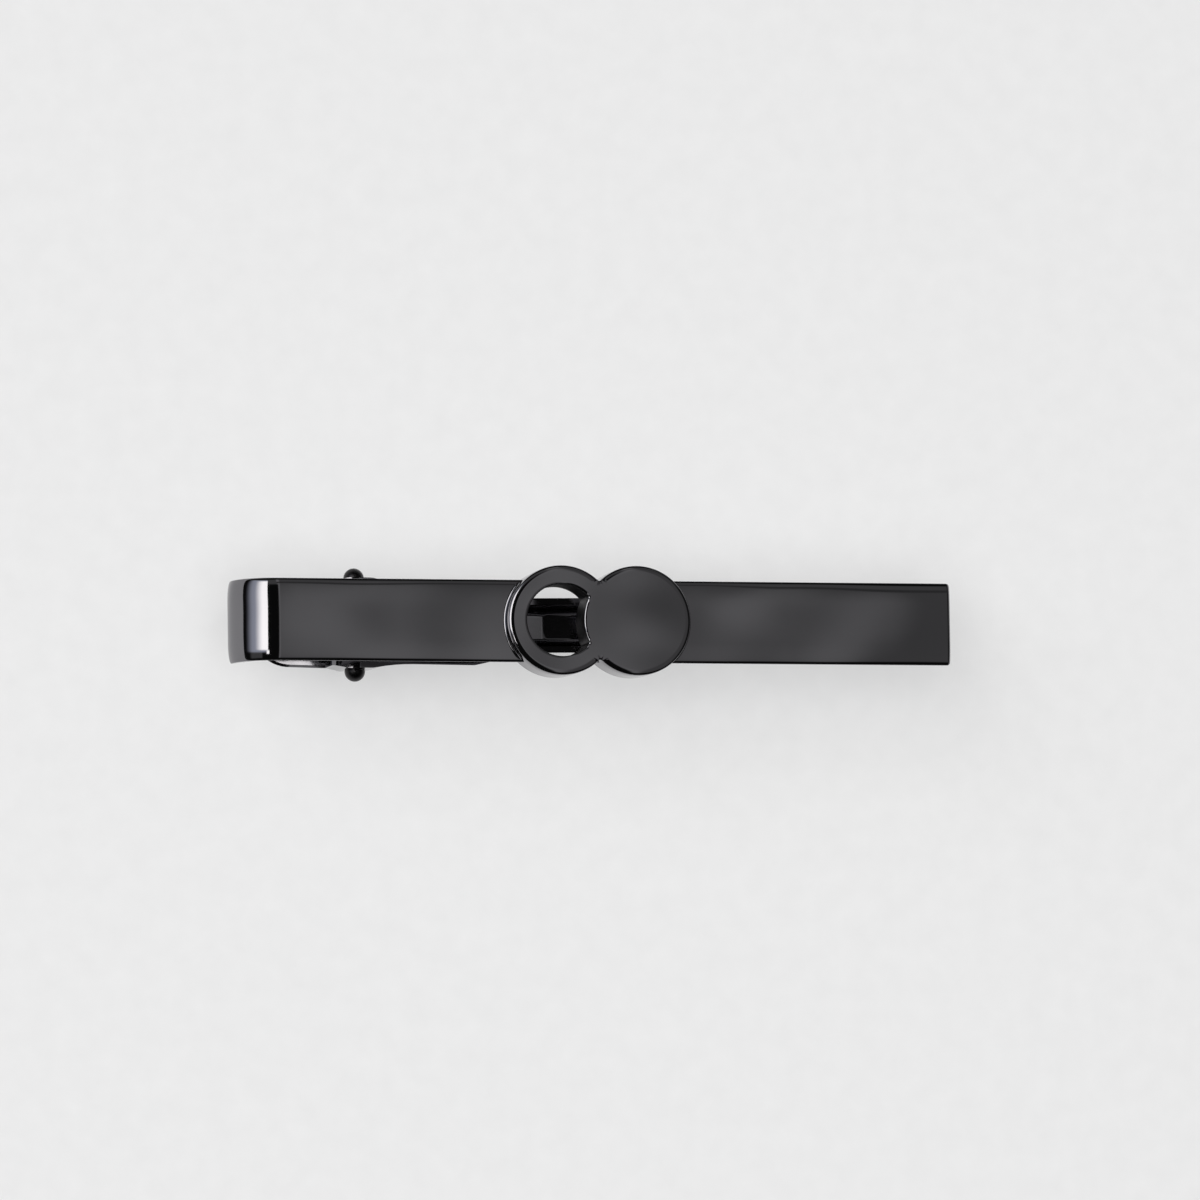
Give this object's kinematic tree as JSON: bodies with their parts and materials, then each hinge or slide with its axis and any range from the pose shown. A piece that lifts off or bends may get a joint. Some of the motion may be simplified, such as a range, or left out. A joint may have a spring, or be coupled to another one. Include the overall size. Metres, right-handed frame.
{
  "type": "tie clip",
  "caption": "Black polished sprung tie clip: flat bar with a hooked end and a raised ring and disc, over a hinged lever with a toothed jaw and thumb tab.",
  "frame": {"origin": "on the underside of the front bar, at the middle of its length and width, where the tie lies against it", "axes": "+X along the bar from the hooked hinge end to the free tip, +Y across the bar, +Z out of the polished front"},
  "size_m": [0.0568, 0.0088, 0.009],
  "materials": {
    "polished_front": "black plated brass, mirror polished",
    "plated_fittings": "black plated pressed brass, satin gloss",
    "spring_wire": "drawn spring steel wire"
  },
  "bodies": {
    "front": {"front_bar": "polished_front", "ornament_plate": "polished_front", "hinge_bracket": "plated_fittings", "hinge_pin": "plated_fittings", "torsion_spring": "spring_wire"},
    "lever": {"clip_lever": "plated_fittings"}
  },
  "joints": [
    {"name": "lever_hinge", "type": "hinge", "parent": "front", "child": "lever", "pos_m": [-0.0181, 0, -0.0029], "axis": [0, 1, 0], "range_deg": [0, 20], "stiffness_Nm_per_rad": 0.02, "springref_deg": -34.38, "deforming": ["torsion_spring"]}
  ]
}
